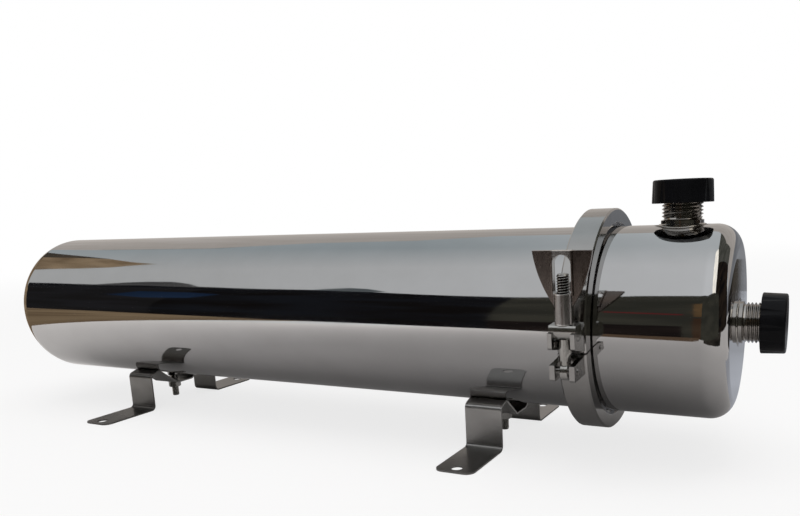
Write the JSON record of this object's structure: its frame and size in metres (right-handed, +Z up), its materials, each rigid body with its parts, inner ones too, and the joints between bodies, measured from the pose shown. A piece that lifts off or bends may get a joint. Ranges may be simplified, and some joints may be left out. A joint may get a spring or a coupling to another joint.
{
  "type": "ultrafiltration water filter",
  "caption": "Horizontal stainless steel ultrafiltration filter: tube housing, membrane cartridge, clamped head with capped threaded ports, drain plug and bent-strip mounting brackets.",
  "frame": {"origin": "centre of the rectangle of four foot holes, on the mounting plane under the feet", "axes": "+X along the tube towards the clamped head, +Z up towards the top port, -Y towards the clamp's wing nut"},
  "size_m": [0.5686, 0.1477, 0.1478],
  "materials": {
    "polished_steel": "mirror-polished stainless steel",
    "cast_steel": "polished cast stainless steel",
    "strip_steel": "satin rolled stainless sheet",
    "bolt_steel": "bright turned stainless steel",
    "pin_steel": "bright turned stainless steel",
    "black_plastic": "moulded, satin",
    "black_rubber": "moulded",
    "cream_plastic": "moulded, satin",
    "potting_resin": "cast resin with cut fibre ends",
    "hollow_fibre": "soft matt fibres"
  },
  "bodies": {
    "housing": {"housing_shell": "polished_steel", "head_shell": "polished_steel", "ferrule_gasket": "black_rubber", "clamp_lower": "cast_steel", "hinge_pin": "pin_steel", "hinge_clip": "pin_steel", "swing_bolt": "bolt_steel", "swing_bolt_pin": "pin_steel", "membrane_collar": "cream_plastic", "collar_oring_front": "black_rubber", "collar_oring_rear": "black_rubber", "potting_disc": "potting_resin", "fibre_bundle": "hollow_fibre", "bracket_left": "strip_steel", "washer_left": "bolt_steel", "nut_left": "bolt_steel", "bracket_right": "strip_steel", "washer_right": "bolt_steel", "nut_right": "bolt_steel"},
    "nut_saddle": {"nut_saddle": "bolt_steel"},
    "wing_nut": {"wing_nut": "cast_steel"},
    "clamp_upper": {"clamp_upper": "cast_steel"},
    "top_cap_seal": {"top_cap_seal": "black_rubber"},
    "top_cap": {"top_port_cap": "black_plastic"},
    "end_cap_seal": {"end_cap_seal": "black_rubber"},
    "end_cap": {"end_port_cap": "black_plastic"},
    "drain_ring": {"drain_oring": "black_rubber"},
    "drain_plug": {"drain_plug": "bolt_steel"}
  },
  "joints": [
    {"name": "nut_lift", "type": "slide", "parent": "housing", "child": "nut_saddle", "axis": [0, -0.0523, 0.9986], "range_m": [0, 0.00635]},
    {"name": "wing_nut_turn", "type": "hinge", "parent": "nut_saddle", "child": "wing_nut", "pos_m": [0.203, -0.06989, 0.08536], "axis": [0, -0.0523, 0.9986], "range_deg": [0, 1800.8]},
    {"name": "clamp_loosen", "type": "hinge", "parent": "housing", "child": "clamp_upper", "pos_m": [0.203, 0.06566, 0.08323], "axis": [-1, 0, 0], "range_deg": [0, 2.01]},
    {"name": "top_cap_lift", "type": "slide", "parent": "housing", "child": "top_cap_seal", "axis": [0, 0, 1], "range_m": [0, 0.00816]},
    {"name": "top_cap_turn", "type": "hinge", "parent": "top_cap_seal", "child": "top_cap", "pos_m": [0.2447, 0, 0.1398], "axis": [0, 0, 1], "range_deg": [0, 1620.4]},
    {"name": "end_cap_slide", "type": "slide", "parent": "housing", "child": "end_cap_seal", "axis": [1, 0, 0], "range_m": [0, 0.00816]},
    {"name": "end_cap_turn", "type": "hinge", "parent": "end_cap_seal", "child": "end_cap", "pos_m": [0.289, 0, 0.074], "axis": [1, 0, 0], "range_deg": [0, 1620.4]},
    {"name": "drain_ring_slide", "type": "slide", "parent": "housing", "child": "drain_ring", "axis": [-1, 0, 0], "range_m": [0, 0.01069]},
    {"name": "drain_plug_turn", "type": "hinge", "parent": "drain_ring", "child": "drain_plug", "pos_m": [-0.2555, 0, 0.074], "axis": [-1, 0, 0], "range_deg": [0, 2880.8]}
  ],
  "couplings": [
    {"joint": "wing_nut_turn", "follows": "nut_lift", "rad_per_m": 4947.4},
    {"joint": "clamp_loosen", "follows": "nut_lift", "rad_per_m": 5.4971},
    {"joint": "top_cap_turn", "follows": "top_cap_lift", "rad_per_m": 3463.7},
    {"joint": "end_cap_turn", "follows": "end_cap_slide", "rad_per_m": 3463.7},
    {"joint": "drain_plug_turn", "follows": "drain_ring_slide", "rad_per_m": 4699.5}
  ]
}
